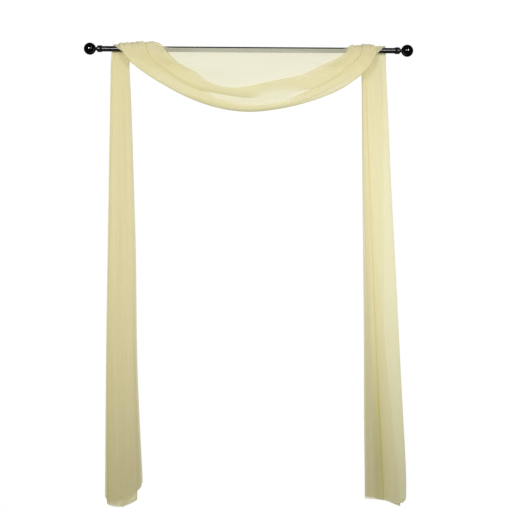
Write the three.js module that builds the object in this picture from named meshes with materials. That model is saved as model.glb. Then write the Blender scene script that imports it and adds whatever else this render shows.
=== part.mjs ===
// Sheer window scarf thrown over a round curtain pole: a tail behind the pole at each end, a swag in front.
// Millimetres. +X runs along the pole, +Y points at the wall behind it and +Z is up.
// The origin lies on the pole's axis, halfway along it.
import * as THREE from "three";

// Pole, a steel tube
const POLE_DIAMETER = 25;
const POLE_WALL = 1.5;
const POLE_LENGTH = 1369;
const ROUND_SIDES = 32;

// End caps, cups that slide over the tube
const CAP_DIAMETER = 31;
const CAP_GRIP = 18;
const CAP_END_WALL = 5;
const CAP_CHAMFER = 5;

// Ball finials, each with a neck and a stud that enters its cap
const BALL_DIAMETER = 55;
const NECK_DIAMETER = 16;
const NECK_LENGTH = 5.5;
const STUD_DIAMETER = 8;
const STUD_LENGTH = 9;
const BALL_STEPS = 14;
const FIT_GAP = 0.3;

// Scarf, one strip of voile that lies in seven layers where it is gathered
const CLOTH_THICKNESS = 1;
const POLE_CLEARANCE = 1.6;
const LAYERS = 7;
const LAYER_SHARES = [0, 0.1, 0.5, 0.9, 1];
const POLE_LAYER_GAP = 3.6;
const TAIL_LAYER_GAP = 7.5;
const TAIL_MIDDLE_DEPTH = 25;
const TAIL_WAVE_DEPTH = 8;
const TAIL_WAVES = 0.75;
const TAIL_WAVE_START = 0.25;
const TAIL_WAVE_DRIFT = 5000;
const TAIL_SPREAD = 1.6;
const TOP_EDGE_ANGLE = 160;
const FRONT_START_ANGLE = 90;
const FRONT_ANGLE = 180;
const FIRST_LAYER_RADIUS = POLE_DIAMETER / 2 + POLE_CLEARANCE;

// A cubic spline whose points turn 45 degrees at a time runs inside them by this share
const ARC_PULL = (2 + Math.SQRT1_2) / 3;

// Each fold line's place, from 0 at the inner side to 1 at the outer side: over the pole's back and top, at
// the pole's front, at a tail's top and at its hem, and then its height at the hem
const TAIL_FOLDS = {
  left: [
    { pole: 0, front: 0, top: 0.05, hem: 0, hemHeight: -1972 },
    { pole: 0.9, front: 0.8, top: 0.95, hem: 0.94, hemHeight: -2041 },
    { pole: 0.1, front: 0.1, top: 0.03, hem: 0.15, hemHeight: -2035 },
    { pole: 1, front: 1, top: 1, hem: 1, hemHeight: -2037 },
    { pole: 0.1, front: 0.03, top: 0.05, hem: 0.03, hemHeight: -1978 },
    { pole: 0.88, front: 0.92, top: 0.95, hem: 0.97, hemHeight: -2037 },
    { pole: 0.35, front: 0.4, top: 0.06, hem: 0.05, hemHeight: -1990 },
    { pole: 0.84, front: 0.9, top: 0.97, hem: 0.56, hemHeight: -2041 },
  ],
  right: [
    { pole: 0, front: 0, top: 0.04, hem: 0.01, hemHeight: -2040 },
    { pole: 0.6, front: 0.7, top: 0.16, hem: 0.45, hemHeight: -2041 },
    { pole: 0.1, front: 0.1, top: 0.03, hem: 0.26, hemHeight: -2040 },
    { pole: 1, front: 1, top: 1, hem: 1, hemHeight: -2038 },
    { pole: 0.15, front: 0.03, top: 0.02, hem: 0.06, hemHeight: -2036 },
    { pole: 0.68, front: 0.92, top: 0.14, hem: 0.87, hemHeight: -2039 },
    { pole: 0.35, front: 0.5, top: 0.06, hem: 0.02, hemHeight: -2037 },
    { pole: 0.64, front: 0.9, top: 0.88, hem: 0.42, hemHeight: -2040 },
  ],
};

// How much lower a hem hangs between its edges, how far that curve leans to the outer side, and how sharp its
// low point is, from 0 for a flat hem to 1 for a plain wave
const HEM_SAG = {
  left: { depth: 58, lean: 1.6, sharpness: 0.6 },
  right: { depth: 40, lean: 4.2, sharpness: 1 },
};

// The tails from the hem up: where their outer and inner edges lie along the pole at each height
const TAIL_EDGES = {
  left: [
    { height: -2079, outer: -642, inner: -468 },
    { height: -1940, outer: -642, inner: -467 },
    { height: -1650, outer: -642, inner: -485 },
    { height: -1320, outer: -641, inner: -498 },
    { height: -960, outer: -637, inner: -500 },
    { height: -600, outer: -634, inner: -516 },
    { height: -300, outer: -631, inner: -527 },
    { height: -130, outer: -630, inner: -536 },
    { height: -60, outer: -630, inner: -545 },
  ],
  right: [
    { height: -2068, outer: 734, inner: 542 },
    { height: -1940, outer: 736, inner: 541 },
    { height: -1650, outer: 717, inner: 534 },
    { height: -1320, outer: 698, inner: 532 },
    { height: -960, outer: 678, inner: 524 },
    { height: -600, outer: 655, inner: 519 },
    { height: -300, outer: 641, inner: 517 },
    { height: -130, outer: 632, inner: 515 },
    { height: -60, outer: 628, inner: 513 },
  ],
};

// The bunch over the pole, turn by turn from the pole's back (0) over its top (90) to its front (180)
const POLE_TURNS = {
  left: [
    { angle: 0, outer: -626, inner: -507 },
    { angle: 45, outer: -620, inner: -452 },
    { angle: 90, outer: -614, inner: -406 },
    { angle: 135, outer: -609, inner: -385 },
    { angle: 180, outer: -600, inner: -370 },
  ],
  right: [
    { angle: 0, outer: 628, inner: 496 },
    { angle: 45, outer: 626, inner: 468 },
    { angle: 90, outer: 621, inner: 443 },
    { angle: 135, outer: 614, inner: 438 },
    { angle: 180, outer: 604, inner: 443 },
  ],
};

// How full the bunch stands over the pole, from its inner side to its outer side
const BUNCH_LOFT = {
  left: [1.25, 1.4, 0.76, 0.66, 0.56],
  right: [0.95, 0.6, 0.66, 0.58, 0.57],
};

// The swag from left to right: its folded band's lower and upper edges, how far the cloth above the band has
// opened into one layer, where across the band that layer's crease, the top of the front pleat and the free
// edge lie, and how far the band stands forward
const SWAG = [
  {
    lowX: -542, lowZ: -55, topX: -352, topZ: -42,
    open: 0.12, crease: 0.8, pleat: 0.5, edge: 0.97, fullness: 0.15,
  },
  {
    lowX: -466, lowZ: -113, topX: -289, topZ: -85,
    open: 0.32, crease: 0.6, pleat: 0.45, edge: 0.97, fullness: 0.35,
  },
  {
    lowX: -378, lowZ: -167, topX: -232, topZ: -107,
    open: 0.68, crease: 0.7, pleat: 0.6, edge: 0.97, fullness: 0.6,
  },
  {
    lowX: -262, lowZ: -230, topX: -178, topZ: -161,
    open: 0.95, crease: 0.5, pleat: 0.42, edge: 0.98, fullness: 0.85,
  },
  {
    lowX: -137, lowZ: -271, topX: -96, topZ: -182,
    open: 1, crease: 0.3, pleat: 0.46, edge: 1, fullness: 1,
  },
  {
    lowX: -10, lowZ: -289, topX: -14, topZ: -177,
    open: 1, crease: 0.47, pleat: 0.66, edge: 1, fullness: 1,
  },
  {
    lowX: 113, lowZ: -276, topX: 72, topZ: -154,
    open: 1, crease: 0.5, pleat: 0.74, edge: 1, fullness: 1,
  },
  {
    lowX: 236, lowZ: -250, topX: 168, topZ: -135,
    open: 1, crease: 0.52, pleat: 0.72, edge: 1, fullness: 0.9,
  },
  {
    lowX: 341, lowZ: -214, topX: 254, topZ: -116,
    open: 0.86, crease: 0.66, pleat: 0.6, edge: 0.9, fullness: 0.7,
  },
  {
    lowX: 427, lowZ: -176, topX: 336, topZ: -73,
    open: 0.62, crease: 0.66, pleat: 0.58, edge: 0.85, fullness: 0.45,
  },
  {
    lowX: 482, lowZ: -133, topX: 392, topZ: -47,
    open: 0.32, crease: 0.62, pleat: 0.5, edge: 0.95, fullness: 0.28,
  },
  {
    lowX: 536, lowZ: -97, topX: 426, topZ: -32,
    open: 0.1, crease: 0.78, pleat: 0.5, edge: 0.97, fullness: 0.12,
  },
];

// Where the folds along the band's upper and lower edge lie across it
const BAND_FOLDS = { upper: 0, lower: 1.04 };

// How far each layer of the band stands in front of the pole's axis where the swag is fullest and at its ends
const BAND_DEPTHS = [16, 24, 32, 40, 49, 58, 67];
const BAND_START_DEPTH = 15;
const BAND_START_GAP = 7;
const BAND_BULGE = 9;

// How the single layer above the band shares out its points from the pole down to its crease
const OPEN_SHARES = [0, 0, 0.05, 0.11, 0.17, 0.23, 0.3, 0.37, 0.45, 0.53, 0.62, 0.71, 0.8, 0.9, 1];
const TOP_EDGE_RADIUS = 14.2;
const TOP_BEND_DEPTH = 16.4;

// The pleat of the first three layers slides open into the single layer: it stops overlapping at this share,
// and by then its middle layer leans from its first fold to its second over these points
const OPENING_LAYERS = 3;
const OPEN_OVERLAP = 0.66;
const LEAN_START = LAYER_SHARES.length - 1;
const LEAN_POINTS = LAYER_SHARES.length + 1;

// Steps between two neighbouring sections and between two neighbouring points of a section
const TAIL_STEPS = 1;
const POLE_STEPS = 2;
const SWAG_STEPS = 2;
const LAYER_STEPS = 1;
const FOLD_STEPS = 2;

const lerp = THREE.MathUtils.lerp;
const radians = THREE.MathUtils.degToRad;

// A value read from an evenly spaced list by a share from 0 to 1
function readList(list, share) {
  const place = THREE.MathUtils.clamp(share, 0, 1) * (list.length - 1);
  const first = Math.min(Math.floor(place), list.length - 2);
  return lerp(list[first], list[first + 1], place - first);
}

// A section's points, layer by layer: a function places each by its place across, its layer and its share
function layerPoints(folds, place) {
  const points = [];
  for (let layer = 0; layer < LAYERS; layer += 1) {
    for (const share of LAYER_SHARES) {
      points.push(place(lerp(folds[layer], folds[layer + 1], share), layer, share));
    }
  }
  return points;
}

// A level section across a tail, with the depth of its soft wave
function tailSection(side, row) {
  const rows = TAIL_EDGES[side];
  const hem = rows[0];
  const top = rows[rows.length - 1];
  const drop = (row.height - top.height) / (hem.height - top.height);
  const spread = Math.min(1, TAIL_SPREAD * Math.sqrt(drop));
  const folds = TAIL_FOLDS[side].map((fold) => lerp(fold.top, fold.hem, drop));
  const heights = TAIL_FOLDS[side].map((fold) => (row === hem ? fold.hemHeight : row.height));
  const sag = HEM_SAG[side];
  const sagDepth = row === hem ? sag.depth : 0;
  const gap = lerp(POLE_LAYER_GAP, TAIL_LAYER_GAP, spread);
  const points = layerPoints(folds, (across, layer, share) => {
    const depth = TAIL_MIDDLE_DEPTH + (layer - (LAYERS - 1) / 2) * gap;
    const height = lerp(heights[layer], heights[layer + 1], share);
    const lower = sagDepth * Math.max(0, Math.sin(Math.PI * across ** sag.lean)) ** sag.sharpness;
    return new THREE.Vector3(lerp(row.inner, row.outer, across), depth, height - lower);
  });
  return { points, inner: row.inner, outer: row.outer, wave: TAIL_WAVE_DEPTH * spread, loft: 0 };
}

// A section along the pole, turned about its axis
function poleSection(side, row) {
  const towardsFront = THREE.MathUtils.smoothstep(row.angle, FRONT_START_ANGLE, FRONT_ANGLE);
  const folds = TAIL_FOLDS[side].map((fold) => lerp(fold.pole, fold.front, towardsFront));
  const points = layerPoints(folds, (across, layer, share) => {
    const radius = (FIRST_LAYER_RADIUS + layer * POLE_LAYER_GAP) / ARC_PULL;
    const topEdge = layer === 0 && share === 0;
    const turn = radians(topEdge ? Math.min(row.angle, TOP_EDGE_ANGLE) : row.angle);
    return new THREE.Vector3(
      lerp(row.inner, row.outer, across),
      radius * Math.cos(turn),
      radius * Math.sin(turn),
    );
  });
  return { points, inner: row.inner, outer: row.outer, wave: 0, loft: 1 };
}

// A slanting section down the swag, from the pole to the band's lower edge
function swagSection(row) {
  const gathered = TAIL_FOLDS[row.lowX < 0 ? "left" : "right"].map((fold) => fold.front);
  const { upper, lower } = BAND_FOLDS;
  const folds = [...gathered.slice(0, OPENING_LAYERS), row.crease, upper, lower, row.pleat, row.edge];
  const depthOf = (layer) => {
    const gatheredDepth = BAND_START_DEPTH + layer * BAND_START_GAP;
    return lerp(gatheredDepth, readList(BAND_DEPTHS, layer / (LAYERS - 1)), row.fullness);
  };
  const points = layerPoints(folds, (across, layer, share) => {
    const bulge = layer < OPENING_LAYERS ? 0 : BAND_BULGE * row.fullness * Math.sin(Math.PI * share);
    const depth = depthOf(layer) + bulge;
    return new THREE.Vector3(lerp(row.topX, row.lowX, across), -depth, lerp(row.topZ, row.lowZ, across));
  });
  const bend = new THREE.Vector3(row.topX, -TOP_BEND_DEPTH, 0);
  const crease = points[OPEN_SHARES.length - 1].clone();
  const lean = THREE.MathUtils.smoothstep(row.open, 0, OPEN_OVERLAP);
  const flat = THREE.MathUtils.smoothstep(row.open, OPEN_OVERLAP, 1);
  OPEN_SHARES.forEach((share, index) => {
    const point = points[index];
    const open = bend.clone().lerp(crease, share);
    const layer = Math.floor(index / LAYER_SHARES.length);
    const leaning = THREE.MathUtils.clamp((index - LEAN_START) / LEAN_POINTS, 0, 1) * (OPENING_LAYERS - 1);
    const folded = -depthOf(lerp(layer, leaning, lean));
    point.set(lerp(point.x, open.x, row.open), lerp(folded, open.y, flat), lerp(point.z, open.z, row.open));
  });
  const turn = radians(TOP_EDGE_ANGLE);
  points[0].set(row.topX, TOP_EDGE_RADIUS * Math.cos(turn), TOP_EDGE_RADIUS * Math.sin(turn));
  points[1].copy(bend);
  return { points, inner: row.topX, outer: row.lowX, wave: 0, loft: 0 };
}

// Weights of four neighbouring points of a cubic spline at t, from 0 to 1 between the middle two
function splineWeights(t) {
  const middle = (s) => (3 * s ** 3 - 6 * s ** 2 + 4) / 6;
  return [(1 - t) ** 3 / 6, middle(t), middle(1 - t), t ** 3 / 6];
}

// A row of points with one more at each end, so that the spline starts and ends on the row's own ends
function withEnds(points) {
  const beyond = (end, next) => end.clone().multiplyScalar(2).sub(next);
  const last = points.length - 1;
  return [beyond(points[0], points[1]), ...points, beyond(points[last], points[last - 1])];
}

// Points on the cubic spline over a row of points, with a number of steps for each stretch
function splinePoints(points, steps) {
  const padded = withEnds(points);
  const found = [];
  steps.forEach((count, stretch) => {
    const last = stretch === steps.length - 1 ? count : count - 1;
    for (let step = 0; step <= last; step += 1) {
      const sum = new THREE.Vector3();
      splineWeights(step / count).forEach((weight, i) => sum.addScaledVector(padded[stretch + i], weight));
      found.push(sum);
    }
  });
  return found;
}

// Moves a point of the bunch or of a tail: the bunch stands fuller in places, and a tail waves in depth
function shapePoint(point, inner, outer, loft, wave) {
  const across = (point.x - inner) / (outer - inner);
  const turn = TAIL_WAVE_START + TAIL_WAVES * across + point.z / TAIL_WAVE_DRIFT;
  const overPole = new THREE.Vector3(0, point.y, Math.max(0, point.z));
  const stand = overPole.length() - FIRST_LAYER_RADIUS;
  const fuller = readList(BUNCH_LOFT[point.x < 0 ? "left" : "right"], across) - 1;
  point.addScaledVector(overPole.normalize(), Math.max(0, stand) * fuller * loft);
  point.y -= Math.sign(point.x) * wave * Math.sin(2 * Math.PI * turn);
}

// The scarf's middle surface, a grid of rows from the left hem to the right hem
function scarfGrid() {
  const leftTail = TAIL_EDGES.left.map((row) => tailSection("left", row));
  const rightTail = TAIL_EDGES.right.map((row) => tailSection("right", row)).reverse();
  const leftPole = POLE_TURNS.left.map((row) => poleSection("left", row));
  const rightPole = POLE_TURNS.right.map((row) => poleSection("right", row)).reverse();
  const swag = SWAG.map(swagSection);
  const sections = [...leftTail, ...leftPole, ...swag, ...rightPole, ...rightTail];
  const along = [
    ...Array(leftTail.length - 1).fill(TAIL_STEPS),
    ...Array(leftPole.length).fill(POLE_STEPS),
    ...Array(swag.length + 1).fill(SWAG_STEPS),
    ...Array(rightPole.length).fill(POLE_STEPS),
    ...Array(rightTail.length - 1).fill(TAIL_STEPS),
  ];
  const layer = Array(LAYER_SHARES.length - 1).fill(LAYER_STEPS);
  const across = Array(LAYERS).fill([FOLD_STEPS, ...layer]).flat().slice(1);
  across[0] = FOLD_STEPS;
  const smooth = sections.map((section) => splinePoints(section.points, across));
  const columns = smooth[0].map((_, column) => splinePoints(smooth.map((row) => row[column]), along));
  const edges = splinePoints(sections.map(({ inner, outer }) => new THREE.Vector3(inner, outer, 0)), along);
  const forms = splinePoints(sections.map(({ loft, wave }) => new THREE.Vector3(loft, wave, 0)), along);
  const grid = edges.map((_, row) => columns.map((column) => column[row]));
  grid.forEach((line, row) =>
    line.forEach((point) => shapePoint(point, edges[row].x, edges[row].y, forms[row].x, forms[row].y)),
  );
  return grid;
}

// The unit normal of a grid at one of its points
function gridNormal(grid, row, column) {
  const at = (r, c) =>
    grid[THREE.MathUtils.clamp(r, 0, grid.length - 1)][THREE.MathUtils.clamp(c, 0, grid[0].length - 1)];
  const along = at(row + 1, column).clone().sub(at(row - 1, column));
  const across = at(row, column + 1).clone().sub(at(row, column - 1));
  return along.cross(across).normalize();
}

// How well a cell's two triangles face along its corners' normals when it is split from its first corner
function splitFit(cell, grid, normals) {
  const [a, b, c, d] = cell.map(([row, column]) => grid[row][column]);
  const facing = (p, q, r) => q.clone().sub(p).cross(r.clone().sub(p)).normalize();
  const fit = (normal, corners) => corners.map(([row, column]) => normal.dot(normals[row][column]));
  const first = fit(facing(a, b, c), [cell[0], cell[1], cell[2]]);
  const second = fit(facing(a, c, d), [cell[0], cell[2], cell[3]]);
  return Math.min(...first, ...second);
}

// A closed sheet of even thickness around a grid
function sheetGeometry(grid, thickness) {
  const rows = grid.length;
  const columns = grid[0].length;
  const normals = grid.map((line, row) => line.map((_, column) => gridNormal(grid, row, column)));
  const positions = [];
  for (const side of [1, -1]) {
    grid.forEach((line, row) =>
      line.forEach((point, column) => {
        const moved = point.clone().addScaledVector(normals[row][column], (side * thickness) / 2);
        positions.push(moved.x, moved.y, moved.z);
      }),
    );
  }
  const front = (row, column) => row * columns + column;
  const back = (row, column) => rows * columns + front(row, column);
  const indices = [];
  const quad = (a, b, c, d) => indices.push(a, b, c, a, c, d);
  for (let row = 0; row < rows - 1; row += 1) {
    for (let column = 0; column < columns - 1; column += 1) {
      const cell = [
        [row, column],
        [row + 1, column],
        [row + 1, column + 1],
        [row, column + 1],
      ];
      const other = [...cell.slice(1), cell[0]];
      const corners = splitFit(cell, grid, normals) > splitFit(other, grid, normals) ? cell : other;
      quad(...corners.map(([r, k]) => front(r, k)));
      const [lead, ...rest] = corners.map(([r, k]) => back(r, k));
      quad(lead, ...rest.reverse());
    }
    const last = columns - 1;
    quad(front(row, 0), back(row, 0), back(row + 1, 0), front(row + 1, 0));
    quad(front(row, last), front(row + 1, last), back(row + 1, last), back(row, last));
  }
  for (let column = 0; column < columns - 1; column += 1) {
    const last = rows - 1;
    quad(front(0, column), front(0, column + 1), back(0, column + 1), back(0, column));
    quad(front(last, column), back(last, column), back(last, column + 1), front(last, column + 1));
  }
  const geometry = new THREE.BufferGeometry();
  geometry.setAttribute("position", new THREE.Float32BufferAttribute(positions, 3));
  geometry.setIndex(indices);
  geometry.computeVertexNormals();
  return geometry;
}

// A turned shape about the X axis, from rows of [radius, distance along X]
function turned(profile) {
  const points = profile.map(([radius, along]) => new THREE.Vector2(radius, along));
  return new THREE.LatheGeometry(points, ROUND_SIDES).rotateZ(-Math.PI / 2);
}

// The pole's tube
function poleGeometry() {
  const outside = POLE_DIAMETER / 2;
  const inside = outside - POLE_WALL;
  const half = POLE_LENGTH / 2;
  return turned([
    [inside, -half],
    [outside, -half],
    [outside, half],
    [inside, half],
    [inside, -half],
  ]);
}

const CAP_END = POLE_LENGTH / 2 + FIT_GAP + CAP_END_WALL;

// The right-hand cap: a cup over the tube's end, chamfered towards the neck, with a hole for the stud
function capGeometry() {
  const outside = CAP_DIAMETER / 2;
  const socket = POLE_DIAMETER / 2 + FIT_GAP;
  const hole = STUD_DIAMETER / 2 + FIT_GAP;
  const mouth = POLE_LENGTH / 2 - CAP_GRIP;
  const floor = POLE_LENGTH / 2 + FIT_GAP;
  return turned([
    [hole, floor],
    [socket, floor],
    [socket, mouth],
    [outside, mouth],
    [outside, CAP_END - CAP_CHAMFER],
    [outside - CAP_CHAMFER, CAP_END],
    [hole, CAP_END],
    [hole, floor],
  ]);
}

// The right-hand finial: stud, neck and ball in one turned piece
function finialGeometry() {
  const seat = CAP_END + FIT_GAP;
  const ball = BALL_DIAMETER / 2;
  const neck = NECK_DIAMETER / 2;
  const start = Math.asin(neck / ball);
  const centre = seat + NECK_LENGTH + ball * Math.cos(start);
  const arc = [];
  for (let step = 0; step <= BALL_STEPS; step += 1) {
    const angle = lerp(start, Math.PI, step / BALL_STEPS);
    const onAxis = step === BALL_STEPS;
    arc.push([onAxis ? 0 : ball * Math.sin(angle), centre - ball * Math.cos(angle)]);
  }
  return turned([
    [0, seat - STUD_LENGTH],
    [STUD_DIAMETER / 2, seat - STUD_LENGTH],
    [STUD_DIAMETER / 2, seat],
    [neck, seat],
    ...arc,
  ]);
}

// Finishes
const VOILE = { color: 0xe6dcae, roughness: 0.9, metalness: 0 };
const BLACK_PAINT = { color: 0x0c0d0f, roughness: 0.25, metalness: 0.2 };
const HIGH_GLOSS_PAINT = { color: 0x0c0d0f, roughness: 0.15, metalness: 0.2 };

// A named mesh with its own material
function piece(name, geometry, finish) {
  const mesh = new THREE.Mesh(geometry, new THREE.MeshStandardMaterial(finish));
  mesh.name = name;
  return mesh;
}

// How far each end is turned about the upright axis
const END_TURNS = { left: Math.PI, right: 0 };

const assembly = new THREE.Group();
assembly.add(piece("scarf", sheetGeometry(scarfGrid(), CLOTH_THICKNESS), VOILE));
assembly.add(piece("pole", poleGeometry(), BLACK_PAINT));
for (const [side, turn] of Object.entries(END_TURNS)) {
  const end = new THREE.Group();
  end.rotation.z = turn;
  end.add(piece(`end_cap_${side}`, capGeometry(), BLACK_PAINT));
  end.add(piece(`finial_${side}`, finialGeometry(), HIGH_GLOSS_PAINT));
  assembly.add(end);
}

export default assembly;
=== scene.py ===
"""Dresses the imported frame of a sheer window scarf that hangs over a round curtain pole.

The scarf is one open sheet of voile over the same fold lines as its solid, at a finer step and with soft
ripples. The pole, its end caps and its ball finials are turned again with finer sides and rounded edges.
Everything is in metres, in the frame of the solids: +X along the pole, +Y towards the wall behind it, +Z up,
with the origin on the pole's axis, halfway along it. The tables of the drape are in millimetres.
"""
import logging
import math
from dataclasses import dataclass
from enum import Enum, IntEnum
from typing import Any, NamedTuple

import bmesh
import bpy
import numpy as np
from bpy.types import Material, Node, NodeSocket, NodeTree, Object
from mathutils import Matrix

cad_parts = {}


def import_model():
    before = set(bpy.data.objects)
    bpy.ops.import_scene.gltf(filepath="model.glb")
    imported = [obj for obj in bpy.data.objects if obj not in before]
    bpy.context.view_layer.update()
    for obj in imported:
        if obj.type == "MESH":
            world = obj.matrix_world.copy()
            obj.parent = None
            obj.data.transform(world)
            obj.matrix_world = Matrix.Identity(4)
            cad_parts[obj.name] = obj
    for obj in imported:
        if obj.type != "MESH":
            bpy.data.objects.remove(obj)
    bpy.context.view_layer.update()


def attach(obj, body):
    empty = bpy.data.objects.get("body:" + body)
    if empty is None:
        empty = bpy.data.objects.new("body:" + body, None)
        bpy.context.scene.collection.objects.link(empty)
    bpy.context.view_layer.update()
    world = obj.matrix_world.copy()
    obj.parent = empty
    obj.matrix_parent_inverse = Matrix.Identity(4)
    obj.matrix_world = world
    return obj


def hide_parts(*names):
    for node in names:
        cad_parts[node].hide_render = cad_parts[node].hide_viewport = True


LOG = logging.getLogger("window_scarf")
MM = 0.001
SAME_PLACE = 1e-6
CLOTH_WIDTH = 0.711
CLOTH_LENGTH = 5.486
NOISE_LOW, NOISE_HIGH = 0.3, 0.7  # nearly all of a noise texture lies between these
BODY = "root"


class Side(Enum):
    """The two ends of the pole, by the direction in which they lie along X."""

    LEFT = -1
    RIGHT = 1


class Cloth(IntEnum):
    """The kinds of stretches along the scarf. Where two kinds meet, the later one holds."""

    TAIL = 0
    POLE = 1
    SWAG = 2


# Colours and nodes


def linear(colour: str) -> tuple[float, float, float, float]:
    """Turns an sRGB hex colour into linear light.

    Args:
        colour: Six hex digits, with or without a leading #.

    Returns:
        Red, green, blue and an alpha of 1.
    """
    digits = colour.lstrip("#")
    shares = [int(digits[i : i + 2], 16) / 255 for i in (0, 2, 4)]
    red, green, blue = (s / 12.92 if s <= 0.04045 else ((s + 0.055) / 1.055) ** 2.4 for s in shares)
    return (red, green, blue, 1.0)


def add_node(tree: NodeTree, kind: str, inputs: dict[Any, Any] | None = None, **settings: Any) -> Node:
    """Adds one node, sets it up and links it.

    Args:
        tree: The node tree that gets the node.
        kind: The node's type name.
        inputs: A value, or another node's output socket, for each input by its name or number.
        settings: The node's own attributes.

    Returns:
        The new node.
    """
    node = tree.nodes.new(kind)
    for name, value in settings.items():
        setattr(node, name, value)
    for key, value in (inputs or {}).items():
        if isinstance(value, NodeSocket):
            tree.links.new(value, node.inputs[key])
        else:
            node.inputs[key].default_value = value
    return node


def empty_material(name: str) -> tuple[Material, NodeTree, Node]:
    """Starts a node material with nothing but its output.

    Args:
        name: The material's name.

    Returns:
        The material, its tree and its output node.
    """
    material = bpy.data.materials.new(name)
    material.use_nodes = True
    tree = material.node_tree
    tree.nodes.clear()
    return material, tree, tree.nodes.new("ShaderNodeOutputMaterial")


# Finishes


@dataclass(frozen=True)
class Voile:
    """Polyester voile, a plain weave of fine crisp yarn with open gaps.

    One layer lets about four tenths of the light straight through its gaps and scatters the rest, so it
    veils what is behind it. Each further layer filters the light again, so gathered cloth is much yellower.
    """

    width_mm: float = CLOTH_WIDTH / MM
    length_mm: float = CLOTH_LENGTH / MM
    face: str = "#FBF9E6"
    through: str = "#F4EFB4"
    gap: str = "#FEF7E6"
    face_deep: str = "#DFD87C"
    through_deep: str = "#D8D06C"
    open_gap: str = "#FFFFFF"
    cover: float = 0.58
    uneven: float = 0.06
    lit_through: float = 0.44
    roughness: float = 0.85
    shine: float = 0.2
    sheen: float = 0.15
    sheen_roughness: float = 0.5
    hem_cover: float = 0.7
    hem_mm: float = 6.0
    end_hem_mm: float = 8.0
    streak_mm: float = 14.0
    streak_stretch: float = 0.03
    thread_mm: float = 3.0
    thread_height_mm: float = 0.2
    thread_relief: float = 0.15

    def material(self) -> Material:
        """Builds the material on the scarf's own UV map, which runs over the flat cloth from 0 to 1.

        Returns:
            The voile material.
        """
        material, tree, output = empty_material("polyester_voile")
        flat = add_node(tree, "ShaderNodeUVMap", uv_map="flat_cloth").outputs["UV"]
        size = (self.width_mm, self.length_mm, 0.0)
        place = add_node(tree, "ShaderNodeVectorMath", {0: flat, 1: size}, operation="MULTIPLY").outputs[0]
        cover = self._cover(tree, flat, place)
        bump = self._weave(tree, place)
        # The depth of yellow, like the extra yarn, also carries painted shade from the scarf's points
        depth = add_node(tree, "ShaderNodeAttribute", attribute_name="depth_of_yellow").outputs["Fac"]
        loose = add_node(tree, "ShaderNodeAttribute", attribute_name="looseness").outputs["Fac"]
        blends = (
            {"Factor": depth, "A": linear(self.face), "B": linear(self.face_deep)},
            {"Factor": depth, "A": linear(self.through), "B": linear(self.through_deep)},
            {"Factor": loose, "A": linear(self.gap), "B": linear(self.open_gap)},
        )
        face_tint, through_tint, gap_tint = (
            add_node(tree, "ShaderNodeMix", blend, data_type="RGBA").outputs["Result"] for blend in blends
        )
        face = add_node(
            tree,
            "ShaderNodeBsdfPrincipled",
            {
                "Base Color": face_tint,
                "Roughness": self.roughness,
                "Specular IOR Level": self.shine,
                "Sheen Weight": self.sheen,
                "Sheen Roughness": self.sheen_roughness,
                "Normal": bump,
            },
        )
        through = add_node(tree, "ShaderNodeBsdfTranslucent", {"Color": through_tint, "Normal": bump})
        yarn = add_node(
            tree, "ShaderNodeMixShader", {0: self.lit_through, 1: face.outputs[0], 2: through.outputs[0]}
        )
        gap = add_node(tree, "ShaderNodeBsdfTransparent", {"Color": gap_tint})
        cloth = add_node(tree, "ShaderNodeMixShader", {0: cover, 1: gap.outputs[0], 2: yarn.outputs[0]})
        tree.links.new(cloth.outputs[0], output.inputs["Surface"])
        return material

    def _cover(self, tree: NodeTree, flat: NodeSocket, place: NodeSocket) -> NodeSocket:
        """Says how much of each spot is yarn: streaks of thicker yarn, denser rolled hems, and the scarf's
        extra yarn, which also holds painted shade.

        Args:
            tree: The material's tree.
            flat: The flat cloth's coordinates, from 0 to 1.
            place: The flat cloth's coordinates in millimetres.

        Returns:
            The share of yarn, from 0 to 1.
        """
        # Slubs are about 0.5 mm wide, too fine to show, so the streaks are drawn some 14 mm wide
        scale = (1.0 / self.streak_mm, self.streak_stretch / self.streak_mm, 0.0)
        along = add_node(tree, "ShaderNodeVectorMath", {0: place, 1: scale}, operation="MULTIPLY").outputs[0]
        streaks = add_node(
            tree, "ShaderNodeTexNoise", {"Vector": along, "Scale": 1.0, "Detail": 3.0, "Roughness": 0.6}
        ).outputs[0]
        uneven = add_node(
            tree,
            "ShaderNodeMapRange",
            {
                "Value": streaks,
                "From Min": NOISE_LOW,
                "From Max": NOISE_HIGH,
                "To Min": self.cover - self.uneven / 2,
                "To Max": self.cover + self.uneven / 2,
            },
        ).outputs[0]
        across, length = add_node(tree, "ShaderNodeSeparateXYZ", {0: flat}).outputs[:2]
        hem = self._hem(tree, across, self.hem_mm / self.width_mm)
        end_hem = self._hem(tree, length, self.end_hem_mm / self.length_mm)
        hems = add_node(tree, "ShaderNodeMath", {0: hem, 1: end_hem}, operation="MAXIMUM").outputs[0]
        yarn = add_node(
            tree, "ShaderNodeMix", {"Factor": hems, "A": uneven, "B": self.hem_cover}, data_type="FLOAT"
        ).outputs[0]
        # The extra yarn holds denser folds and also painted shade below the pole, on the right tail and at
        # the crease
        extra = add_node(tree, "ShaderNodeAttribute", attribute_name="extra_yarn_and_shade").outputs["Fac"]
        total = add_node(tree, "ShaderNodeMath", {0: yarn, 1: extra}, operation="ADD", use_clamp=True)
        return total.outputs[0]

    @staticmethod
    def _hem(tree: NodeTree, share: NodeSocket, hem: float) -> NodeSocket:
        """Marks the two hems of one direction of the cloth.

        Args:
            tree: The material's tree.
            share: The place along that direction, from 0 to 1.
            hem: The hem's share of that direction.

        Returns:
            1 on a hem and 0 elsewhere.
        """
        from_middle = add_node(tree, "ShaderNodeMath", {0: share, 1: 0.5}, operation="SUBTRACT").outputs[0]
        distance = add_node(tree, "ShaderNodeMath", {0: from_middle}, operation="ABSOLUTE").outputs[0]
        on_hem = add_node(tree, "ShaderNodeMath", {0: distance, 1: 0.5 - hem}, operation="GREATER_THAN")
        return on_hem.outputs[0]

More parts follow.
